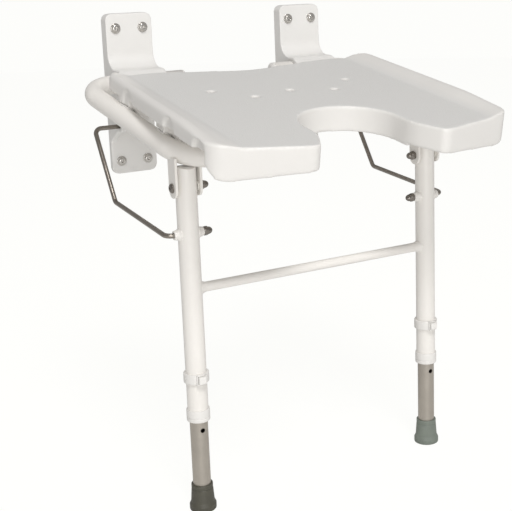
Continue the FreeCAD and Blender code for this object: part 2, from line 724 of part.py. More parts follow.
def make_clips():
    """Half bands that hold the tubes up from their inner sides, each on a screwed tab."""
    clips = []
    half = size("clip_width") / 2
    inner = size("rail_radius") + size("seat_gap")
    outer = inner + size("clip_thick")
    top = clip_tab_height()
    for middle, along, tab in clip_spots():
        band = ring(middle - along * half, middle + along * half, outer, inner)
        up = Vector(0, 0, 1)
        strip = Part.makeBox(outer + size("clip_tab"), 2 * half, size("clip_thick"),
                             Vector(0, -half, -top - size("clip_thick")))
        strip.Placement = Placement(middle, Rotation(tab, up.cross(tab), up, "ZXY"))
        core = rod(middle - along * size("clip_width"), middle + along * size("clip_width"), inner)
        outboard = Part.makeBox(2 * outer, 4 * half, 4 * outer, Vector(-2 * outer, -2 * half, -2 * outer))
        outboard.Placement = strip.Placement
        clip = band.cut(outboard).fuse(strip.cut(core))
        hole_at = middle + tab * (size("rail_radius") + size("clip_thick") + size("clip_tab") / 2)
        hole = rod(hole_at - Vector(0, 0, 2 * top), hole_at, size("clip_screw_radius") + size("seat_gap"))
        clips.append(clip.cut(hole).removeSplitter())
    return keep("rail_clips", Part.makeCompound(clips), rail_place)


def make_clip_screws():
    screws = []
    for seat_at, along in clip_screw_spots():
        screws.append(screw(
            seat_at, along, size("clip_screw_radius"), size("clip_screw_length"),
            size("clip_head_radius"), size("clip_head_height") / 2,
            size("clip_head_radius"), size("clip_head_height")))
    return keep("clip_screws", Part.makeCompound(screws))


# Clevises under the frame and the bolts that the legs turn on
def make_clevis(name, side):
    """Two ears welded under the tube, cut to the tube's round."""
    inner = size("leg_radius") + size("ear_gap")
    half = size("ear_depth") / 2
    ears = []
    tube = rail_solid(side, size("rail_radius") + size("seat_gap"))
    tube.Placement = rail_place
    for hand in (-1, 1):
        low = size("ear_tail") - half
        top = size("ear_rise")
        spots = [(-half, top), (-half, -low), (half, -low), (half, top)]
        left, right = Vector(0, *spots[1]), Vector(0, *spots[2])
        bottom = Part.Arc(left, Vector(0, 0, -size("ear_tail")), right).toShape()
        loop = Part.Wire([
            Part.LineSegment(Vector(0, *spots[0]), left).toShape(),
            bottom,
            Part.LineSegment(right, Vector(0, *spots[3])).toShape(),
            Part.LineSegment(Vector(0, *spots[3]), Vector(0, *spots[0])).toShape(),
        ])
        ear = Part.Face(loop).extrude(Vector(hand * size("ear_thick"), 0, 0))
        ear.translate(leg_pivot + Vector(side * size("leg_x") + hand * inner, 0, 0))
        ear = ear.cut(tube)
        lowest = min(ear.Solids, key=lambda solid: solid.BoundBox.ZMin)
        ears.append(lowest)
    bolt = leg_pivot + Vector(side * size("leg_x"), 0, 0)
    reach = Vector(inner + size("ear_thick") + size("cut_over"), 0, 0)
    hole = rod(bolt - reach, bolt + reach, size("bolt_radius") + size("seat_gap"))
    return keep(name, Part.makeCompound([ear.cut(hole) for ear in ears]))


def ear_face():
    return size("leg_radius") + size("ear_gap") + size("ear_thick")


def hexagon(middle, along, flats, height):
    """Hexagonal prism from a middle point along X."""
    radius = flats / math.sqrt(3)
    spots = []
    for number in range(7):
        angle = math.radians(60 * number)
        spots.append(middle + Vector(0, radius * math.cos(angle), radius * math.sin(angle)))
    return Part.Face(Part.makePolygon(spots)).extrude(along * height)


def cap_nut(start, along, bore):
    """Domed nut on the end of a rod of the given radius."""
    nut = hexagon(start, along, size("nut_flats"), size("nut_height"))
    dome_at = start + along * size("nut_height")
    dome_radius = size("nut_flats") / 2
    tip = dome_radius * DOME_SHARE
    nut = nut.fuse(Part.makeCone(dome_radius, tip, size("nut_dome"), dome_at, along))
    thread = rod(start, start + along * (size("nut_height") + size("nut_dome") / 2), bore + size("seat_gap"))
    return nut.cut(thread)


def make_pivot_bolts():
    bolts = []
    for side in SIDES.values():
        middle = leg_pivot + Vector(side * size("leg_x"), 0, 0)
        inward = Vector(-side, 0, 0)
        seat_at = middle - inward * ear_face()
        bolts.append(screw(
            seat_at, inward, size("bolt_radius"), 2 * ear_face() + size("nut_height") + size("nut_dome") / 4,
            size("bolt_head_radius"), size("bolt_head_height") / 3,
            size("bolt_head_radius"), size("bolt_head_height") * 2 / 3))
    return keep("pivot_bolts", Part.makeCompound(bolts))


def make_pivot_nuts():
    nuts = []
    for side in SIDES.values():
        inward = Vector(-side, 0, 0)
        start = leg_pivot + Vector(side * size("leg_x"), 0, 0) + inward * ear_face()
        nuts.append(cap_nut(start, inward, size("bolt_radius")))
    return keep("pivot_nuts", Part.makeCompound(nuts))


def make_pivot_washers():
    washers = []
    for side in SIDES.values():
        for hand in (-1, 1):
            middle = leg_pivot + Vector(side * size("leg_x"), 0, 0)
            start = middle + Vector(hand * (size("leg_radius") + size("running_gap")), 0, 0)
            end = middle + Vector(hand * (size("leg_radius") + size("ear_gap")), 0, 0)
            washers.append(ring(start, end, size("washer_radius"), size("bolt_radius") + size("seat_gap")))
    return keep("pivot_washers", Part.makeCompound(washers))


# Leg frame
def boss_solid(side, bore):
    """Tapered boss through the leg, turned about the stay's axis."""
    middle = leg_link + Vector(side * size("leg_x"), 0, 0)
    root = size("leg_radius") - 2 * size("tube_wall")
    tip = size("boss_reach")
    shape = rod(middle - Vector(tip, 0, 0), middle + Vector(tip, 0, 0), size("boss_tip_radius"))
    for hand in (-1, 1):
        start = middle + Vector(hand * root, 0, 0)
        wide_end = size("boss_root_radius")
        thin_end = size("boss_tip_radius")
        cone = Part.makeCone(wide_end, thin_end, tip - root, start, Vector(hand, 0, 0))
        shape = shape.fuse(cone)
    if bore:
        reach = Vector(tip + size("cut_over"), 0, 0)
        hole = rod(middle - reach, middle + reach, size("bolt_radius") + size("link_gap"))
        shape = shape.cut(hole)
    return shape


def round_head(shape, side):
    """Round a leg's top about its pivot, so that it swings clear of the side tube."""
    bolt = leg_pivot + Vector(side * size("leg_x"), 0, 0)
    across = Vector(size("leg_radius") + size("cut_over"), 0, 0)
    block = Part.makeBox(2 * across.x, 2 * across.x, size("leg_head") + size("cut_over"),
                         bolt - Vector(across.x, across.x, 0))
    block = block.cut(rod(bolt - across, bolt + across, size("leg_head")))
    return shape.cut(block)


def make_leg_plugs():
    """Plugs that close the rounded tops of the outer tubes."""
    plugs = []
    radius = size("leg_radius") - size("tube_wall") - size("seat_gap")
    for side in SIDES.values():
        bolt = leg_pivot + Vector(side * size("leg_x"), 0, 0)
        low = bolt + Vector(0, 0, size("leg_head") / 2)
        plugs.append(round_head(rod(low, bolt + Vector(0, 0, size("leg_head")), radius), side))
    return keep("leg_plugs", Part.makeCompound(plugs))


def make_leg_tube(name, side):
    """Outer tube with holes for the pivot bolt, the boss and the height pin."""
    axis = Vector(side * size("leg_x"), -size("leg_out"), 0)
    top = axis + Vector(0, 0, leg_pivot.z + size("leg_head"))
    end = axis + Vector(0, 0, tube_end_z)
    tube = ring(end, top, size("leg_radius"), size("leg_radius") - size("tube_wall"))
    tube.rotate(axis, Vector(0, 0, 1), SEAM_TURN)
    tube = round_head(tube, side)
    across = Vector(size("leg_radius") + size("cut_over"), 0, 0)
    bolt = axis + Vector(0, 0, leg_pivot.z)
    tube = tube.cut(rod(bolt - across, bolt + across, size("bolt_radius") + size("running_gap")))
    tube = tube.cut(boss_solid(side, False))
    pin = axis + Vector(0, 0, pin_z)
    tube = tube.cut(rod(pin, pin - Vector(0, across.x, 0), size("pin_radius") + size("running_gap")))
    return keep(name, tube)


def make_cross_bar():
    """Thin tube between the legs, coped to them."""
    middle = Vector(0, -size("leg_out"), leg_pivot.z - size("bar_drop"))
    reach = Vector(size("leg_x"), 0, 0)
    bar = ring(middle - reach, middle + reach, size("bar_radius"), size("bar_radius") - size("bar_wall"))
    for side in SIDES.values():
        foot = middle + reach * side - Vector(0, 0, size("leg_radius"))
        bar = bar.cut(rod(foot, foot + Vector(0, 0, 2 * size("leg_radius")), size("leg_radius")))
    return keep("cross_bar", bar)


def make_collars():
    """Rings round the outer tubes, each with a hole for the height pin."""
    collars = []
    for side in SIDES.values():
        middle = Vector(side * size("leg_x"), -size("leg_out"), pin_z)
        half = Vector(0, 0, size("collar_height") / 2)
        bore = size("leg_radius") + size("seat_gap")
        collar = ring(middle - half, middle + half, size("collar_radius"), bore)
        outward = Vector(0, -size("collar_radius") - size("cut_over"), 0)
        hole = rod(middle, middle + outward, size("pin_radius") + size("running_gap"))
        collars.append(collar.cut(hole))
    return keep("height_collars", Part.makeCompound(collars))


def make_sleeves():
    """Guide sleeves at the lower ends of the outer tubes, lipped in under them."""
    sleeves = []
    for side in SIDES.values():
        axis = Vector(side * size("leg_x"), -size("leg_out"), 0)
        low = axis + Vector(0, 0, sleeve_z - size("sleeve_height") / 2)
        high = axis + Vector(0, 0, sleeve_z + size("sleeve_height") / 2)
        sleeve = ring(low, high, size("sleeve_radius"), size("inner_leg_radius") + size("running_gap"))
        seat_at = axis + Vector(0, 0, tube_end_z)
        above = high + Vector(0, 0, size("cut_over"))
        sleeve = sleeve.cut(rod(seat_at, above, size("leg_radius") + size("seat_gap")))
        sleeves.append(sleeve)
    return keep("leg_sleeves", Part.makeCompound(sleeves))


def make_inner_leg(name, side):
    """Sliding inner leg with its row of height holes, front and back."""
    body = new_body(name)
    place(body, Vector(side * size("leg_x"), -size("leg_out"), sole_z))
    section = new_sketch(body, name + "_section", "XY_Plane", "Sheet.ferrule_base_thick")
    add_circle(section, "0", "0", "Sheet.inner_leg_radius")
    add_circle(section, "0", "0", "Sheet.inner_leg_radius - Sheet.inner_leg_wall")
    length = "Sheet.foot_drop - Sheet.inner_leg_top_drop - Sheet.ferrule_base_thick"
    pad(body, section, name + "_tube", length)
    row = new_sketch(body, name + "_hole_row", "XZ_Plane")
    for step in range(-3, 4):
        up = "Sheet.foot_drop - Sheet.collar_drop + %d * Sheet.hole_pitch" % step
        add_circle(row, "0", up, "Sheet.height_hole_radius")
    pocket_through(body, row, name + "_holes", "4 * Sheet.inner_leg_radius")
    return body


def make_ferrule(name, side):
    """Rubber foot turned about the leg's axis, with a flanged sole."""
    body = new_body(name)
    place(body, Vector(side * size("leg_x"), -size("leg_out"), sole_z))
    bore = "Sheet.inner_leg_radius + Sheet.seat_gap"
    revolve(body, name + "_turned", [
        ("0", "0"),
        ("Sheet.ferrule_base_radius - Sheet.ferrule_base_thick / 4", "0"),
        ("Sheet.ferrule_base_radius", "Sheet.ferrule_base_thick / 4"),
        ("Sheet.ferrule_base_radius", "Sheet.ferrule_base_thick"),
        ("(Sheet.ferrule_base_radius + Sheet.ferrule_top_radius) / 2", "Sheet.ferrule_base_thick * 3 / 2"),
        ("Sheet.ferrule_top_radius", "Sheet.ferrule_height"),
        (bore, "Sheet.ferrule_height"),
        (bore, "Sheet.ferrule_base_thick"),
        ("0", "Sheet.ferrule_base_thick"),
    ])
    return body


def make_height_pin(name, side):
    """Square button with a round pin through the collar and the outer tube."""
    axis = Vector(side * size("leg_x"), -size("leg_out"), pin_z)
    face = size("collar_radius") + size("pin_head_gap")
    tip = size("inner_leg_radius") + 2 * size("seat_gap") + size("running_gap")
    pin = rod(axis + Vector(0, -face, 0), axis + Vector(0, -tip, 0), size("pin_radius"))
    head = size("pin_head")
    corner = axis + Vector(-head / 2, -face - size("pin_head_thick"), -head / 2)
    return keep(name, pin.fuse(Part.makeBox(head, size("pin_head_thick"), head, corner)))


# Stays
def make_stay(name, side):
    """Bent rod from the bracket's lug, out, down over its knee and in through the leg's boss."""
    lug_inner = bracket_side - size("lug_thick")
    start_x = lug_inner - size("retainer_thick") * 2
    end_x = size("leg_x") - size("boss_reach") - size("nut_height") - size("nut_dome") / 4
    knee = Vector(side * size("stay_x"), -size("stay_knee_out"), -size("stay_knee_down"))
    corners = [
        stay_pivot + Vector(side * start_x, 0, 0),
        stay_pivot + Vector(side * size("stay_x"), 0, 0),
        knee,
        leg_link + Vector(side * size("stay_x"), 0, 0),
        leg_link + Vector(side * end_x, 0, 0),
    ]
    bend = size("stay_end_radius")
    path = bent_path(corners, [bend, size("stay_knee_radius"), bend])
    return keep(name, bent_rod(path, size("bolt_radius")))


def make_stay_nut(name, side):
    start = leg_link + Vector(side * (size("leg_x") - size("boss_reach") - size("link_gap")), 0, 0)
    return keep(name, cap_nut(start, Vector(-side, 0, 0), size("bolt_radius")))


def make_stay_retainer(name, side):
    lug_inner = bracket_side - size("lug_thick")
    start = stay_pivot + Vector(side * (lug_inner - size("link_gap")), 0, 0)
    end = start - Vector(side * size("retainer_thick"), 0, 0)
    return keep(name, ring(start, end, size("retainer_radius"), size("bolt_radius") + size("seat_gap")))


parts = []
for word, side in SIDES.items():
    parts.append(make_bracket("bracket_" + word, side))
    parts.append(make_bush("bush_" + word, side))
    parts.append(make_side_tube("side_tube_" + word, side))
    parts.append(make_clevis("clevis_" + word, side))
    parts.append(make_leg_tube("leg_tube_" + word, side))
    parts.append(make_inner_leg("inner_leg_" + word, side))
    parts.append(make_ferrule("ferrule_" + word, side))
    parts.append(make_height_pin("height_pin_" + word, side))
    parts.append(make_stay("stay_rod_" + word, side))
    parts.append(make_stay_nut("stay_nut_" + word, side))
    parts.append(make_stay_retainer("stay_retainer_" + word, side))
parts += [
    make_wall_screws(),
    make_seat(),
    make_end_caps(),
    make_clips(),
    make_clip_screws(),
    make_pivot_bolts(),
    make_pivot_nuts(),
    make_pivot_washers(),
    keep("stay_bosses", Part.makeCompound([boss_solid(side, True) for side in SIDES.values()])),
    make_leg_plugs(),
    make_cross_bar(),
    make_collars(),
    make_sleeves(),
]
doc.recompute()

for item in doc.Objects:
    if "Invalid" in item.State or "Error" in item.State:
        raise RuntimeError("%s failed: %s" % (item.Label, item.State))
for part in parts:
    if part.Shape.isNull() or not part.Shape.isValid():
        raise RuntimeError(part.Label + " has a bad shape")

os.makedirs("parts", exist_ok=True)
for part in parts:
    part.Shape.exportStep("parts/%s.step" % part.Label)
    box = part.Shape.BoundBox
    print("%-20s solids %2d  volume %10.0f  x %7.1f %7.1f  y %7.1f %7.1f  z %7.1f %7.1f" % (
        part.Label, len(part.Shape.Solids), part.Shape.Volume,
        box.XMin, box.XMax, box.YMin, box.YMax, box.ZMin, box.ZMax))
print("leg pivot", leg_pivot, "stay pivot", stay_pivot, "link", leg_link, "sole", sole_z, "pin", pin_z)
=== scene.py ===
import json
import math

import bmesh
import bpy
from mathutils import Matrix, Vector


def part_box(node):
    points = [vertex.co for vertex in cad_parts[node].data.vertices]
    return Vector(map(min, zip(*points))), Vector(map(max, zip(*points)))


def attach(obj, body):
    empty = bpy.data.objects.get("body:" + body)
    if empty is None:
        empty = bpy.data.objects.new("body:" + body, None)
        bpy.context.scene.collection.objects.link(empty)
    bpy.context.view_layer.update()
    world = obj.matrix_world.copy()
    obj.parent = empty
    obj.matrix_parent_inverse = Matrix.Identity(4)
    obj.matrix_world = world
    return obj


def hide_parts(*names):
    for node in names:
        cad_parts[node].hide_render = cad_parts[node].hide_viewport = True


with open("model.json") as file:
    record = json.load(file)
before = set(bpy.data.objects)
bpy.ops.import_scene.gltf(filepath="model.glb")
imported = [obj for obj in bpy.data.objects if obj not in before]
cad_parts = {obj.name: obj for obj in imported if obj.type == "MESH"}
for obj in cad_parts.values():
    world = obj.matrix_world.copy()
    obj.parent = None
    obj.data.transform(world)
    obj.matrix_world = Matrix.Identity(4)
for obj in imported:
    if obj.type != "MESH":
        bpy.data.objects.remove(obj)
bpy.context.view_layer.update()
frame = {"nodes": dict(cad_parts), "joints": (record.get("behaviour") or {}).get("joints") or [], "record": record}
nodes = frame["nodes"]
joints = {joint["name"]: joint for joint in frame["joints"]}
SIDES = {"left": -1, "right": 1}
X, Y, Z = Vector((1, 0, 0)), Vector((0, 1, 0)), Vector((0, 0, 1))
MM = 0.001


# Places read from the frame
def middle_of(name):
    """Centre of the box round a CAD node."""
    low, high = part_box(name)
    return (Vector(low) + Vector(high)) / 2


PIVOT = Vector(joints["seat_fold"]["pos_m"])
LEG_PIVOT = Vector(joints["leg_fold"]["pos_m"])
STAY_PIVOT = Vector(joints["stay_swing_left"]["pos_m"])
LEG_X = middle_of("leg_tube_right").x
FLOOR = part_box("ferrule_right")[0].z


# Materials
def new_material(name):
    """Empty node material: the material, its tree and its main shader."""
    material = bpy.data.materials.new(name)
    material.use_nodes = True
    tree = material.node_tree
    tree.nodes.clear()
    output = tree.nodes.new("ShaderNodeOutputMaterial")
    shader = tree.nodes.new("ShaderNodeBsdfPrincipled")
    tree.links.new(shader.outputs["BSDF"], output.inputs["Surface"])
    return material, tree, shader


def node(tree, kind, **sockets):
    """New shader node with its input sockets set by name."""
    made = tree.nodes.new(kind)
    for name, value in sockets.items():
        made.inputs[name.replace("_", " ")].default_value = value
    return made


def spread(tree, source, low, high):
    """A value from 0 to 1 spread over another range."""
    ranged = node(tree, "ShaderNodeMapRange", To_Min=low, To_Max=high)
    tree.links.new(source, ranged.inputs["Value"])
    return ranged.outputs["Result"]


def grain(tree, size, detail=2.0, stretch=(1, 1, 1)):
    """Noise whose grains are about this size in metres, stretched along the axes given."""
    place = tree.nodes.new("ShaderNodeTexCoord")
    scale = tree.nodes.new("ShaderNodeMapping")
    scale.inputs["Scale"].default_value = stretch
    tree.links.new(place.outputs["Object"], scale.inputs["Vector"])
    made = node(tree, "ShaderNodeTexNoise", Scale=1 / size, Detail=detail, Roughness=0.55)
    tree.links.new(scale.outputs["Vector"], made.inputs["Vector"])
    return made.outputs["Fac"]


def blend_colour(tree, share, one, other):
    """Colour between two others, which are fixed colours or sockets."""
    mix = tree.nodes.new("ShaderNodeMix")
    mix.data_type = "RGBA"
    tree.links.new(share, mix.inputs["Factor"])
    for socket, colour in ((mix.inputs[6], one), (mix.inputs[7], other)):
        if isinstance(colour, bpy.types.NodeSocket):
            tree.links.new(colour, socket)
        else:
            socket.default_value = (*colour, 1)
    return mix.outputs[2]


def add_bump(tree, shader, height, distance, strength=1.0, after=None):
    """Relief on a shader, in metres, on top of an earlier relief if one is given."""
    bump = node(tree, "ShaderNodeBump", Strength=strength, Distance=distance)
    tree.links.new(height, bump.inputs["Height"])
    if after:
        tree.links.new(after, bump.inputs["Normal"])
    tree.links.new(bump.outputs["Normal"], shader.inputs["Normal"])
    return bump.outputs["Normal"]


def finish_of(name, colour, other, patch, roughness, grain_size, bump,
              metallic=0.0, stretch=(1, 1, 1), coat=0.0):
    """A surface with slow colour changes, uneven gloss and a fine grain."""
    material, tree, shader = new_material(name)
    slow = grain(tree, patch, 3.0)
    tree.links.new(blend_colour(tree, slow, colour, other), shader.inputs["Base Color"])
    fine = grain(tree, grain_size, 3.0, stretch)
    tree.links.new(spread(tree, fine, *roughness), shader.inputs["Roughness"])
    add_bump(tree, shader, fine, bump)
    shader.inputs["Metallic"].default_value = metallic
    shader.inputs["Coat Weight"].default_value = coat
    shader.inputs["Coat Roughness"].default_value = 0.25
    return material


def seat_finish():
    """Smooth white moulding whose sitting face, marked in the mesh, has a fine grain and is darker, partly from
    its grainy finish and partly from painted shade of the up-facing top.
    """
    material, tree, shader = new_material("seat_moulding")
    mark = tree.nodes.new("ShaderNodeAttribute")
    mark.attribute_name = "grain_and_painted_shade"
    share = mark.outputs["Fac"]
    slow = grain(tree, 0.07, 3.0)
    smooth = blend_colour(tree, slow, (0.77, 0.75, 0.72), (0.72, 0.70, 0.67))
    specks = grain(tree, 0.0016, 2.0)
    # the sitting face's darker colour is partly its grainy finish and partly painted shade where the top faces up
    grain_and_shade_colour = blend_colour(tree, specks, (0.71, 0.70, 0.68), (0.65, 0.64, 0.62))
    tree.links.new(blend_colour(tree, share, smooth, grain_and_shade_colour), shader.inputs["Base Color"])
    tree.links.new(spread(tree, share, 0.34, 0.62), shader.inputs["Roughness"])
    fine = tree.nodes.new("ShaderNodeMath")
    fine.operation = "MULTIPLY"
    tree.links.new(specks, fine.inputs[0])
    tree.links.new(share, fine.inputs[1])
    first = add_bump(tree, shader, fine.outputs[0], 0.0005, 0.8)
    add_bump(tree, shader, grain(tree, 0.012, 2.0), 0.00012, 0.5, after=first)
    return material


# One finish for each of the record's slots, and darker ones for some of its stainless pieces
MATERIALS = {
    "seat_plastic": seat_finish(),
    "bracket_plastic": finish_of(
        "bracket_moulding", (0.80, 0.785, 0.76), (0.74, 0.725, 0.70), 0.06, (0.38, 0.50), 0.0022, 0.0001),
    "bush_plastic": finish_of(
        "bush_acetal", (0.72, 0.71, 0.68), (0.68, 0.66, 0.63), 0.02, (0.35, 0.45), 0.002, 0.00005),
    "tube_coat": finish_of(
        "tube_powder_coat", (0.84, 0.81, 0.77), (0.80, 0.77, 0.725), 0.05, (0.26, 0.40), 0.0035, 0.00012,
        coat=0.25),
    "cap_plastic": finish_of(
        "cap_moulding", (0.80, 0.78, 0.75), (0.75, 0.73, 0.70), 0.02, (0.34, 0.46), 0.002, 0.00008),
    "collar_plastic": finish_of(
        "collar_moulding", (0.79, 0.77, 0.74), (0.74, 0.72, 0.69), 0.02, (0.26, 0.38), 0.002, 0.00008),
    "button_plastic": finish_of(
        "button_moulding", (0.83, 0.81, 0.78), (0.77, 0.75, 0.72), 0.01, (0.28, 0.40), 0.0015, 0.00006),
    "nylon": finish_of(
        "nylon_washer", (0.80, 0.78, 0.73), (0.74, 0.72, 0.67), 0.01, (0.36, 0.5), 0.0015, 0.00006),
    "stainless": finish_of(
        "polished_stainless", (0.66, 0.64, 0.61), (0.50, 0.475, 0.44), 0.008, (0.16, 0.32), 0.0009, 0.00004,
        metallic=1.0, stretch=(1, 4, 4)),
    "dark_stainless": finish_of(
        "dull_stainless", (0.30, 0.275, 0.25), (0.20, 0.18, 0.16), 0.006, (0.18, 0.36), 0.0009, 0.00004,
        metallic=1.0),
    "stay_steel": finish_of(
        "dull_stay_steel", (0.36, 0.325, 0.285), (0.24, 0.215, 0.19), 0.012, (0.22, 0.42), 0.0010, 0.00005,
        metallic=1.0),
    "inner_alloy": finish_of(
        "drawn_alloy", (0.50, 0.46, 0.405), (0.40, 0.365, 0.32), 0.018, (0.28, 0.48), 0.0009, 0.00006,
        metallic=0.85, stretch=(1, 1, 0.06)),
    "rubber_right": finish_of(
        "grey_green_rubber", (0.21, 0.235, 0.20), (0.15, 0.17, 0.145), 0.012, (0.48, 0.68), 0.0012,
        0.00015),
    "rubber_left": finish_of(
        "dark_rubber", (0.085, 0.080, 0.058), (0.055, 0.052, 0.040), 0.012, (0.42, 0.62), 0.0012,
        0.00015),
}


def shade(piece, slot, finish=None):
    """Gives a piece the finish for a slot, or another finish."""
    piece.data.materials.clear()
    piece.data.materials.append(MATERIALS[finish or slot])


# Mesh helpers
def add_piece(name, build, body, slot, replaced, finish=None):
    """New piece built by a function that fills a bmesh. It rides on a body and replaces a CAD node."""
    piece = bpy.data.objects.new(name, mesh_from(name, build))
    bpy.context.scene.collection.objects.link(piece)
    shade(piece, slot, finish)
    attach(piece, body)
    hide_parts(replaced)


def mesh_from(name, build):
    """New smooth mesh filled by a function that works on a bmesh."""
    work = bmesh.new()
    build(work)
    bmesh.ops.recalc_face_normals(work, faces=work.faces)
    data = bpy.data.meshes.new(name)
    work.to_mesh(data)
    work.free()
    for face in data.polygons:
        face.use_smooth = True
    return data


def facing(along):
    """Turns the Z axis to a direction."""
    return along.normalized().to_track_quat("Z", "Y").to_matrix().to_4x4()


def add_lathe(work, outline, start, along, segments=48, shape=None):
    """Turns an outline of (radius, distance) points about an axis.

    A shape may change the radius on its way round.
    """
    turn = Matrix.Translation(start) @ facing(along)
    rings = []
    for radius, distance in outline:
        if radius <= 0:
            rings.append([work.verts.new(turn @ Vector((0, 0, distance)))])
            continue
        ring = []
        for number in range(segments):
            angle = math.tau * number / segments
            reach = shape(angle, radius, distance) if shape else radius
            spot = Vector((reach * math.cos(angle), reach * math.sin(angle), distance))
            ring.append(work.verts.new(turn @ spot))
        rings.append(ring)
    for one, other in zip(rings, rings[1:]):
        if len(one) == 1 and len(other) == 1:
            continue
        for number in range(segments):
            following = (number + 1) % segments
            if len(one) == 1:
                work.faces.new((one[0], other[number], other[following]))
            elif len(other) == 1:
                work.faces.new((one[following], one[number], other[0]))
            else:
                work.faces.new((one[number], other[number], other[following], one[following]))


def bent_path(corners, radii, step):
    """Points along straight runs joined by tangent arcs, no further apart than a step on the arcs."""
    spots = [corners[0]]
    for before, corner, after, radius in zip(corners, corners[1:], corners[2:], radii):
        into = (corner - before).normalized()
        out = (after - corner).normalized()
        turn = into.angle(out)
        tangent = radius * math.tan(turn / 2)
        start = corner - into * tangent
        side = (out - into * into.dot(out)).normalized()
        count = max(4, round(radius * turn / step))
        for number in range(count + 1):
            angle = turn * number / count
            spots.append(start + into * radius * math.sin(angle) + side * radius * (1 - math.cos(angle)))
    spots.append(corners[-1])
    return spots


def add_tube(work, path, radius, segments):
    """Round bar along a path, with its sections kept from twisting and its ends closed."""
    rings = []
    up = None
    for number, spot in enumerate(path):
        ahead = path[min(number + 1, len(path) - 1)] - path[max(number - 1, 0)]
        ahead.normalize()
        if up is None:
            up = ahead.orthogonal().normalized()
        up = (up - ahead * up.dot(ahead)).normalized()
        side = ahead.cross(up)
        angles = [math.tau * k / segments for k in range(segments)]
        rings.append([
            work.verts.new(spot + (up * math.cos(angle) + side * math.sin(angle)) * radius)
            for angle in angles])
    for one, other in zip(rings, rings[1:]):
        for k in range(segments):
            following = (k + 1) % segments
            work.faces.new((one[k], one[following], other[following], other[k]))
    work.faces.new(rings[0][::-1])
    work.faces.new(rings[-1])


def turned(corners, radii, step=0.35):
    """Outline for a lathe through (radius, distance) corners in millimetres, the inner ones rounded."""
    path = bent_path([Vector((radius, distance, 0)) * MM for radius, distance in corners],
                     [radius * MM for radius in radii], step * MM)
    return [(spot.x, spot.y) for spot in path]


def add_rod(work, start, end, radius):
    """Plain closed rod between two places."""
    length = (end - start).length
    add_lathe(work, [(0, 0), (radius, 0), (radius, length), (0, length)], start, end - start)


def add_block(work, middle, reach, edge):
    """Box with rounded edges round a middle point, reaching half its sizes each way."""
    made = bmesh.ops.create_cube(work, size=2)
    for vertex in made["verts"]:
        vertex.co = Vector(vertex.co[axis] * reach[axis] for axis in range(3)) + middle
    edges = {line for vertex in made["verts"] for line in vertex.link_edges}
    bmesh.ops.bevel(work, geom=list(edges), offset=edge, segments=4, profile=0.5, affect="EDGES")


# Pieces worked from the solids' own shapes
EASED_ABOVE, SHARP_ABOVE = math.radians(40), math.radians(50)


def reworked(name, source, body, slot, set_modifiers):
    """A CAD node's shape changed by modifiers, in that node's place."""
    piece = bpy.data.objects.new(name, nodes[source].data.copy())
    bpy.context.scene.collection.objects.link(piece)
    set_modifiers(piece.modifiers)
    graph = bpy.context.evaluated_depsgraph_get()
    data = bpy.data.meshes.new_from_object(piece.evaluated_get(graph))
    piece.modifiers.clear()
    piece.data = data
    for face in data.polygons:
        face.use_smooth = True
    shade(piece, slot)
    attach(piece, body)
    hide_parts(source)
    return piece


def moulded(name, source, body, slot, voxel, passes):
    """A moulding with softly rounded edges, worked from a solid by a fine remesh and smoothing."""
    def soften(modifiers):
        remesh = modifiers.new("remesh", "REMESH")
        remesh.mode = "VOXEL"
        remesh.voxel_size = voxel
        remesh.adaptivity = 0
        smooth = modifiers.new("smooth", "SMOOTH")
        smooth.factor = 0.5
        smooth.iterations = passes

    return reworked(name, source, body, slot, soften)


def bevelled(name, source, body, slot, width):
    """A solid's own shape with its sharp edges eased."""
    def ease_edges(modifiers):
        ease = modifiers.new("ease", "BEVEL")
        ease.width = width
        ease.segments = 3
        ease.limit_method = "ANGLE"
        ease.angle_limit = EASED_ABOVE

    reworked(name, source, body, slot, ease_edges).data.set_sharp_from_angle(angle=SHARP_ABOVE)


# The seat's slope and height at the wall, and its forms in its own frame, in metres
SEAT_FALL = math.radians(9.09)
SEAT_HEIGHT = 0.0483
SEAT_HALF, LOBE_REAR, LOBE_TOP, LOBE_DEPTH = 0.201, 0.380, 0.010, 0.030
LOBE_ROUND_WIDE, LOBE_ROUND_HIGH = 0.030, 0.014
RIM_FADE_START, RIM_FADE_LENGTH, RIM_FADE = 0.32, 0.09, 0.5
# bounds of the sitting face's grain and darker colour; the darker colour is partly painted shade of the up-facing
# top
GRAIN_SHADE_HALF, GRAIN_SHADE_EDGE, GRAIN_SHADE_LOWEST = 0.178, 0.014, -0.004
GRAIN_SHADE_LEVEL, GRAIN_SHADE_LEVEL_RANGE = 0.86, 0.1
SEAT_VOXEL, SEAT_PASSES = 0.0016, 12
BRACKET_VOXEL, BRACKET_PASSES = 0.0012, 4


def shape_lobes_and_rims(data, place):
    """Rounds the lobes' outer lower corners upwards and lets the side rims sink towards the front."""
    back = place.inverted()
    for vertex in data.vertices:
        spot = back @ vertex.co
        across = min(1, (abs(spot.x) - SEAT_HALF) / LOBE_ROUND_WIDE + 1)
        if across > 0 and spot.y < -LOBE_REAR and spot.z < -LOBE_TOP:
            deep = (-LOBE_TOP - spot.z) / LOBE_DEPTH
            spot.z += deep * LOBE_ROUND_HIGH * (1 - math.sqrt(1 - across ** 2))
            vertex.co = place @ spot
        if spot.z > 0 and spot.y < -RIM_FADE_START:
            along = min(1, (-spot.y - RIM_FADE_START) / RIM_FADE_LENGTH)
            spot.z *= 1 - RIM_FADE * along * along * (3 - 2 * along)
            vertex.co = place @ spot
    data.update()


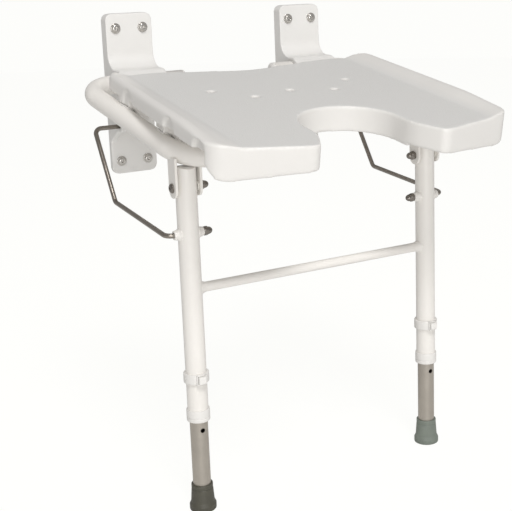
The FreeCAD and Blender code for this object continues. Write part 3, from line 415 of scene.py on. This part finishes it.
def mark_sitting_face(data, place):
    """Marks the level, up-facing part of the top for its fine grain and its darker colour, which is partly painted
    shade, with a soft edge at its sides.
    """
    mark = data.attributes.new("grain_and_painted_shade", "FLOAT", "POINT")
    back = place.inverted()
    upright = place.to_3x3().inverted()
    for number, vertex in enumerate(data.vertices):
        spot = back @ vertex.co
        level = (upright @ vertex.normal).z
        share = 0.0
        if spot.z > GRAIN_SHADE_LOWEST and level > 0:
            across = min(1, max(0, (GRAIN_SHADE_HALF - abs(spot.x)) / GRAIN_SHADE_EDGE))
            share = across * min(1, max(0, (level - GRAIN_SHADE_LEVEL) / GRAIN_SHADE_LEVEL_RANGE))
        mark.data[number].value = share


def make_seat():
    """Seat moulding, shaped and marked in the frame of its own plane."""
    data = moulded("seat_moulding", "seat_shell", "seat", "seat_plastic", SEAT_VOXEL, SEAT_PASSES).data
    place = Matrix.Translation((0, 0, SEAT_HEIGHT)) @ Matrix.Rotation(SEAT_FALL, 4, "X")
    shape_lobes_and_rims(data, place)
    mark_sitting_face(data, place)


make_seat()
for word in SIDES:
    moulded("bracket_moulding_" + word, "bracket_" + word, "wall_brackets", "bracket_plastic",
            BRACKET_VOXEL, BRACKET_PASSES)


# Sizes in millimetres and places shared by the small pieces
BRACKET_X, SCREW_HALF_GAP, SCREW_ROW = 132.0, 19.2, 90.5
TOP_PLATE, FOOT_PLATE, BRACKET_SIDE = 18.0, 8.5, 164.5
TUBE_RADIUS, LEG_RADIUS, LEG_WALL_MIDDLE, ROD_RADIUS = 12.5, 12.7, 12.0, 3.0
EAR_FACE, LUG_THICK, BOSS_REACH = 17.0, 8.0, 18.8
NUT_FLATS, NUT_HEIGHT, NUT_DOME = 10.0, 5.0, 6.5
FRAME_FALL = math.radians(14.92)
SIDE_TUBE = [(71.0, 0), (212.38, 0), (177.99, -254.4), (130.0, -254.4)]
SIDE_BENDS = (40.0, 50.0)
STAY_X, STAY_KNEE, STAY_BEND, STAY_TAIL = 199.0, (0, -106.0, -125.0), 9.0, 4.0
SOCKET_EDGE = 2.3
LEG_X_MM = LEG_X / MM

# Height and depth at which the stays meet the legs, from the parallelogram of the four pivots
LINK = LEG_PIVOT + STAY_PIVOT - PIVOT
LINK.x = 0


def six_lobed(angle, radius, distance):
    """Six-lobed drive inside a screw's head, plain everywhere else."""
    return radius * (1 + 0.16 * math.cos(6 * angle)) if radius < SOCKET_EDGE * MM else radius


def make_wall_screws():
    """Flanged round heads on the brackets and threads behind them."""
    head = turned([(0, 0), (7, 0), (7, 1.2), (5.7, 1.2), (4.7, 4.2), (2.2, 4.2), (2.0, 2.0), (0, 1.7)],
                  [0.2, 0.5, 0.3, 2.0, 0.3, 0.2])
    root, crest, pitch, reach = 1.8, 2.4, 1.6, 18
    thread = [(0, 0)]
    for turn in range(int(reach / pitch)):
        thread += [(root * MM, pitch * turn * MM), (crest * MM, pitch * (turn + 0.5) * MM)]
    thread += [(0, reach * MM)]

    def build(work):
        for side in SIDES.values():
            for across in (-1, 1):
                for up, plate in ((1, TOP_PLATE), (-1, FOOT_PLATE)):
                    spot = Vector((side * BRACKET_X + across * SCREW_HALF_GAP, 0, up * SCREW_ROW)) * MM
                    add_lathe(work, head, spot - Y * plate * MM, -Y, 60, six_lobed)
                    add_lathe(work, thread, spot, Y, 24)

    add_piece("screws_with_sockets", build, "wall_brackets", "stainless", "wall_screws")


def tube_corners(side):
    """Corners of a side tube's centre line, from its rear end to its front end."""
    turn = Matrix.Translation(PIVOT) @ Matrix.Rotation(FRAME_FALL, 4, "X")
    return [turn @ (Vector((side * across, along, 0)) * MM) for across, along in SIDE_TUBE]


def make_side_tubes():
    """Bent tubes of the seat's frame, one on each side."""
    for word, side in SIDES.items():
        path = bent_path(tube_corners(side), [bend * MM for bend in SIDE_BENDS], 2.5 * MM)
        add_piece("bent_tube_" + word, lambda work: add_tube(work, path, TUBE_RADIUS * MM, 56),
                  "seat", "tube_coat", "side_tube_" + word)


def make_end_caps():
    """Domed caps in both ends of each side tube."""
    dome = turned([(0, -4), (10.9, -4), (10.9, 0), (12.5, 0), (12.5, 2.2), (8.6, 5), (0, 5)],
                  [0.2, 0.2, 0.2, 1.8, 3.5])

    def build(work):
        for side in SIDES.values():
            corners = tube_corners(side)
            for end in (corners[0], corners[-1]):
                add_lathe(work, dome, end, X * -side)

    add_piece("domed_end_caps", build, "seat", "cap_plastic", "rail_end_caps")


def hexagonal(angle, radius, distance):
    """Flats of a hexagon cut from a round up to the nut's height."""
    if distance > NUT_HEIGHT * MM * 1.01 or radius < ROD_RADIUS * MM * 1.3:
        return radius
    turn = (angle + math.pi / 6) % (math.pi / 3) - math.pi / 6
    return min(radius, NUT_FLATS / 2 * MM / math.cos(turn))


def add_cap_nut(work, start, along):
    """Chamfered hexagon with a dome on it."""
    corner, chamfer = NUT_FLATS / math.sqrt(3), 0.7
    hexagon = [(0, 0), (corner * 0.9, 0), (corner, chamfer),
               (corner, NUT_HEIGHT - chamfer), (corner * 0.88, NUT_HEIGHT)]
    outline = [(radius * MM, distance * MM) for radius, distance in hexagon]
    dome_radius, dome_height = NUT_FLATS / 2 * 0.9, NUT_DOME * 0.83
    dome_foot = NUT_HEIGHT + 0.1 + NUT_DOME * 0.15
    steps = 8
    for number in range(steps):
        angle = math.pi / 2 * number / steps
        outline.append((dome_radius * math.cos(angle) * MM, (dome_foot + dome_height * math.sin(angle)) * MM))
    outline.append((0, (dome_foot + dome_height) * MM))
    add_lathe(work, outline, start, along, 72, hexagonal)


def make_pivot_fastenings():
    """Bolt through each leg's ears, with its head outside and its cap nut inside."""
    head = turned([(0, 0), (5.7, 0), (5.7, 1.5), (3.9, 3.3), (1.9, 3.3), (1.7, 1.3), (0, 1.2)],
                  [0.2, 0.7, 1.3, 0.2, 0.2])

    def bolts(work):
        for side in SIDES.values():
            outer = LEG_PIVOT + X * side * (LEG_X + EAR_FACE * MM)
            inner = LEG_PIVOT + X * side * (LEG_X - EAR_FACE * MM)
            add_lathe(work, head, outer, X * side, shape=six_lobed)
            add_rod(work, outer, inner, ROD_RADIUS * MM)

    def nuts(work):
        for side in SIDES.values():
            add_cap_nut(work, LEG_PIVOT + X * side * (LEG_X - EAR_FACE * MM), X * -side)

    add_piece("leg_bolts", bolts, "seat", "stainless", "pivot_bolts", "dark_stainless")
    add_piece("leg_cap_nuts", nuts, "seat", "stainless", "pivot_nuts", "dark_stainless")


def make_stays():
    """Bent rods from the brackets' lugs to the legs' bosses, each with a cap nut at its leg end."""
    knee = Vector(STAY_KNEE) * MM
    rear = Vector((0, STAY_PIVOT.y, STAY_PIVOT.z))
    for word, side in SIDES.items():
        outer = X * side * STAY_X * MM
        corners = [
            rear + X * side * (BRACKET_SIDE - LUG_THICK - STAY_TAIL) * MM,
            rear + outer,
            knee + outer,
            LINK + outer,
            LINK + X * side * (LEG_X_MM - BOSS_REACH - NUT_HEIGHT - NUT_DOME / 4) * MM,
        ]
        path = bent_path(corners, [STAY_BEND * MM] * 3, 1.0 * MM)
        nut = LINK + X * side * (LEG_X_MM - BOSS_REACH - 0.3) * MM
        add_piece("bent_stay_" + word, lambda work: add_tube(work, path, ROD_RADIUS * MM, 32),
                  "stay_" + word, "stainless", "stay_rod_" + word, "stay_steel")
        add_piece("stay_cap_nut_" + word, lambda work: add_cap_nut(work, nut, X * -side),
                  "stay_" + word, "stainless", "stay_nut_" + word, "dark_stainless")


def make_bosses():
    """Tapered bosses with a run of weld where they meet the legs."""
    outline = turned([(3.3, 18.8), (5.4, 18.8), (6.3, 14.2), (8.4, 11.6), (8.0, 8.0), (0, 8.0)],
                     [0.7, 2.5, 1.2, 0.4])
    bore = [(3.3 * MM, 0), (3.3 * MM, -10 * MM)]

    def build(work):
        for side in SIDES.values():
            middle = LINK + X * side * LEG_X
            for hand in (-1, 1):
                add_lathe(work, outline, middle, X * hand)
                add_lathe(work, bore, middle + X * hand * BOSS_REACH * MM, X * hand, 32)

    add_piece("welded_bosses", build, "leg_frame", "tube_coat", "stay_bosses")


def make_cross_bar():
    """Thin tube whose ends flare into the weld on each leg."""
    height = middle_of("cross_bar").z
    end = LEG_X_MM - LEG_RADIUS
    corners = [(9.0, -end - 2), (7.4, -end + 0.6), (6.0, -end + 5.5)]
    corners += [(radius, -along) for radius, along in corners[::-1]]
    outline = turned(corners, [1.5, 6.0, 6.0, 1.5])

    def beads(angle, radius, distance):
        """Small waves of the weld near the bar's ends."""
        swell = max(0, abs(distance) / MM - end + 4) / 4
        return radius * (1 + 0.018 * min(1, swell) * math.sin(11 * angle))

    def build(work):
        add_lathe(work, outline, Vector((0, LEG_PIVOT.y, height)), X, shape=beads)
        # the ends are fitted to the legs' round, inside their walls
        for vertex in work.verts:
            if abs(vertex.co.x) > (end + 0.5) * MM:
                in_wall = math.sqrt((LEG_WALL_MIDDLE * MM) ** 2 - (vertex.co.y - LEG_PIVOT.y) ** 2)
                vertex.co.x = math.copysign(LEG_X - in_wall, vertex.co.x)

    add_piece("welded_cross_bar", build, "leg_frame", "tube_coat", "cross_bar")


def make_collars():
    """Rounded rings with a raised square rim round each button."""
    ring = turned([(12.7, -6.25), (15.5, -6.25), (15.5, 6.25), (12.7, 6.25)], [1.3, 1.3])
    half_wide, half_high, front = 5.6, 5.5, 14.2
    bar_long, bar_deep, bar_thick, edge = 6.2, 2.2, 0.7, 0.4

    def build(work):
        for side in SIDES.values():
            middle = Vector((side * LEG_X, LEG_PIVOT.y, middle_of("height_collars").z))
            add_lathe(work, ring, middle, Z, 72)
            for across, up in ((-1, 0), (1, 0), (0, -1), (0, 1)):
                spot = middle + Vector((across * half_wide, -front, up * half_high)) * MM
                reach = Vector((bar_thick if across else bar_long, bar_deep, bar_thick if up else bar_long))
                add_block(work, spot, reach * MM, edge * MM)

    add_piece("rimmed_collars", build, "leg_frame", "collar_plastic", "height_collars")


def make_buttons():
    """Height pins: a soft square button and its pin."""
    half, half_deep, edge = 4.6, 2.6, 1.1
    pin_radius, pin_start, pin_end = 2.9, 4.6, 9.0
    for word in SIDES:
        spot = middle_of("height_pin_" + word)
        spot.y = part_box("height_pin_" + word)[0].y

        def build(work):
            add_block(work, spot + Y * half_deep * MM, Vector((half, half_deep, half)) * MM, edge * MM)
            add_rod(work, spot + Y * pin_start * MM, spot + Y * pin_end * MM, pin_radius * MM)

        add_piece("button_" + word, build, "pin_" + word, "button_plastic", "height_pin_" + word)


def make_sleeves():
    """Guide sleeves with a rounded lower lip and a shallow groove."""
    ring = turned(
        [(11.15, -7.5), (14.3, -7.5), (14.3, -3.2), (13.7, -2.6), (14.3, -2.0), (14.3, 7.5), (12.72, 7.5)],
        [1.0, 0.3, 0.3, 0.3, 0.9])

    def build(work):
        for side in SIDES.values():
            add_lathe(work, ring, Vector((side * LEG_X, LEG_PIVOT.y, middle_of("leg_sleeves").z)), Z, 72)

    add_piece("grooved_sleeves", build, "leg_frame", "collar_plastic", "leg_sleeves")


def make_feet():
    """Rubber feet with a tread, rings round the foot and a lip at the top."""
    outline = turned([
        (0, 0.6), (13.4, 0.6), (13.6, 0), (16.4, 0), (16.6, 2.2), (16.1, 2.6), (16.6, 3.0), (16.6, 6.4),
        (14.6, 10.5), (13.4, 27.0), (12.9, 27.6), (13.3, 28.2), (13.3, 33.5), (11.1, 33.5), (11.1, 31.0)],
        [0.1, 0.1, 0.5, 0.2, 0.2, 0.2, 1.2, 3.0, 0.3, 0.2, 0.2, 0.9, 0.3])
    for word, side in SIDES.items():
        low = Vector((side * LEG_X, LEG_PIVOT.y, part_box("ferrule_" + word)[0].z))
        add_piece("rubber_foot_" + word, lambda work: add_lathe(work, outline, low, Z, 72),
                  "foot_" + word, "rubber_" + word, "ferrule_" + word)


make_wall_screws()
make_side_tubes()
make_end_caps()
make_pivot_fastenings()
make_stays()
make_bosses()
make_cross_bar()
make_collars()
make_buttons()
make_sleeves()
make_feet()
for word in SIDES:
    bevelled("clevis_ears_" + word, "clevis_" + word, "seat", "tube_coat", 1.2 * MM)


# CAD pieces that keep their own shape
SHARP_IN_CAD = math.radians(35)
SLOTS = {row["node"]: row["material_slot"] for row in frame["record"]["subparts"]}
for name, kept in nodes.items():
    if kept.hide_render:
        continue
    shade(kept, SLOTS[name])
    for face in kept.data.polygons:
        face.use_smooth = True
    kept.data.set_sharp_from_angle(angle=SHARP_IN_CAD)


# Floor, light and camera
BACKDROP = (0.985, 0.985, 0.965, 1)
FLOOR_RADIUS, FLOOR_GLOW, FLOOR_FADE = 6.0, 1.055, 0.9
WORLD_LIGHT = 0.42


def seen_directly(tree):
    """1 where the camera looks, 0 where only light falls."""
    return tree.nodes.new("ShaderNodeLightPath").outputs["Is Camera Ray"]


def make_floor():
    """Wide pale floor that the camera sees fade into the white background, shadow and all."""
    data = mesh_from(
        "floor", lambda work: bmesh.ops.create_circle(work, cap_ends=True, radius=FLOOR_RADIUS, segments=96))
    floor = bpy.data.objects.new("floor", data)
    bpy.context.scene.collection.objects.link(floor)
    floor.location = (0, 0, FLOOR)
    material, tree, shader = new_material("pale_floor")
    shader.inputs["Roughness"].default_value = 0.9
    shader.inputs["Specular IOR Level"].default_value = 0.0
    tone = grain(tree, 0.35, 2.0)
    pale = blend_colour(tree, tone, (0.90, 0.90, 0.89), (0.88, 0.88, 0.87))
    tree.links.new(pale, shader.inputs["Base Color"])
    data.materials.append(material)
    output = next(part for part in tree.nodes if part.type == "OUTPUT_MATERIAL")
    white = node(tree, "ShaderNodeEmission", Strength=FLOOR_GLOW)
    white.inputs["Color"].default_value = BACKDROP
    share = node(tree, "ShaderNodeMath")
    share.operation = "MULTIPLY"
    share.inputs[1].default_value = FLOOR_FADE
    tree.links.new(seen_directly(tree), share.inputs[0])
    mix = tree.nodes.new("ShaderNodeMixShader")
    tree.links.new(share.outputs[0], mix.inputs["Fac"])
    tree.links.new(shader.outputs["BSDF"], mix.inputs[1])
    tree.links.new(white.outputs["Emission"], mix.inputs[2])
    tree.links.new(mix.outputs["Shader"], output.inputs["Surface"])


def make_world():
    """Even soft light from all round, behind which the camera sees the backdrop's colour."""
    world = bpy.data.worlds.new("studio")
    bpy.context.scene.world = world
    world.use_nodes = True
    tree = world.node_tree
    tree.nodes.clear()
    output = tree.nodes.new("ShaderNodeOutputWorld")
    light = node(tree, "ShaderNodeBackground", Strength=WORLD_LIGHT)
    light.inputs["Color"].default_value = (1, 0.99, 0.98, 1)
    seen = node(tree, "ShaderNodeBackground", Strength=1.0)
    seen.inputs["Color"].default_value = BACKDROP
    mix = tree.nodes.new("ShaderNodeMixShader")
    tree.links.new(seen_directly(tree), mix.inputs["Fac"])
    tree.links.new(light.outputs[0], mix.inputs[1])
    tree.links.new(seen.outputs[0], mix.inputs[2])
    tree.links.new(mix.outputs[0], output.inputs["Surface"])


def add_lamp(name, place, aim, size, power):
    """Round soft lamp turned to what it aims at."""
    data = bpy.data.lights.new(name, "AREA")
    data.shape = "DISK"
    data.size = size
    data.energy = power
    lamp = bpy.data.objects.new(name, data)
    bpy.context.scene.collection.objects.link(lamp)
    lamp.location = place
    lamp.rotation_euler = (Vector(aim) - Vector(place)).to_track_quat("-Z", "Y").to_euler()


def make_camera():
    """Camera of the photograph: its turn, height and roll, and the frame's shift."""
    azimuth, elevation, roll = math.radians(-30.27), math.radians(12.4), math.radians(-1.646)
    focal, centre_x, centre_y = 1074.0, 313.7, 200.8
    image_width, image_height = 512, 511
    place = Vector((-0.6599, -1.4017, 0.1664))
    level = math.cos(elevation)
    ahead = Vector((-math.sin(azimuth) * level, math.cos(azimuth) * level, -math.sin(elevation)))
    right = ahead.cross(Z).normalized()
    up = right.cross(ahead)
    right_rolled = right * math.cos(roll) + up * math.sin(roll)
    up_rolled = up * math.cos(roll) - right * math.sin(roll)
    data = bpy.data.cameras.new("camera")
    data.sensor_width = 36
    data.lens = focal / image_width * data.sensor_width
    data.sensor_fit = "HORIZONTAL"
    data.shift_x = (image_width / 2 - centre_x) / image_width
    data.shift_y = (centre_y - image_height / 2) / image_width
    data.clip_start, data.clip_end = 0.05, 50
    camera = bpy.data.objects.new("camera", data)
    bpy.context.scene.collection.objects.link(camera)
    facing_photo = Matrix((right_rolled, up_rolled, -ahead)).transposed().to_4x4()
    camera.matrix_world = Matrix.Translation(place) @ facing_photo
    bpy.context.scene.camera = camera


make_floor()
make_world()
add_lamp("key", (-0.7, -2.9, 3.6), (0, -0.2, -0.1), 1.5, 106)
add_lamp("front_fill", (-1.3, -4.0, 0.0), (0, -0.2, -0.2), 2.2, 62)
make_camera()
bpy.context.scene.view_settings.view_transform = "Standard"
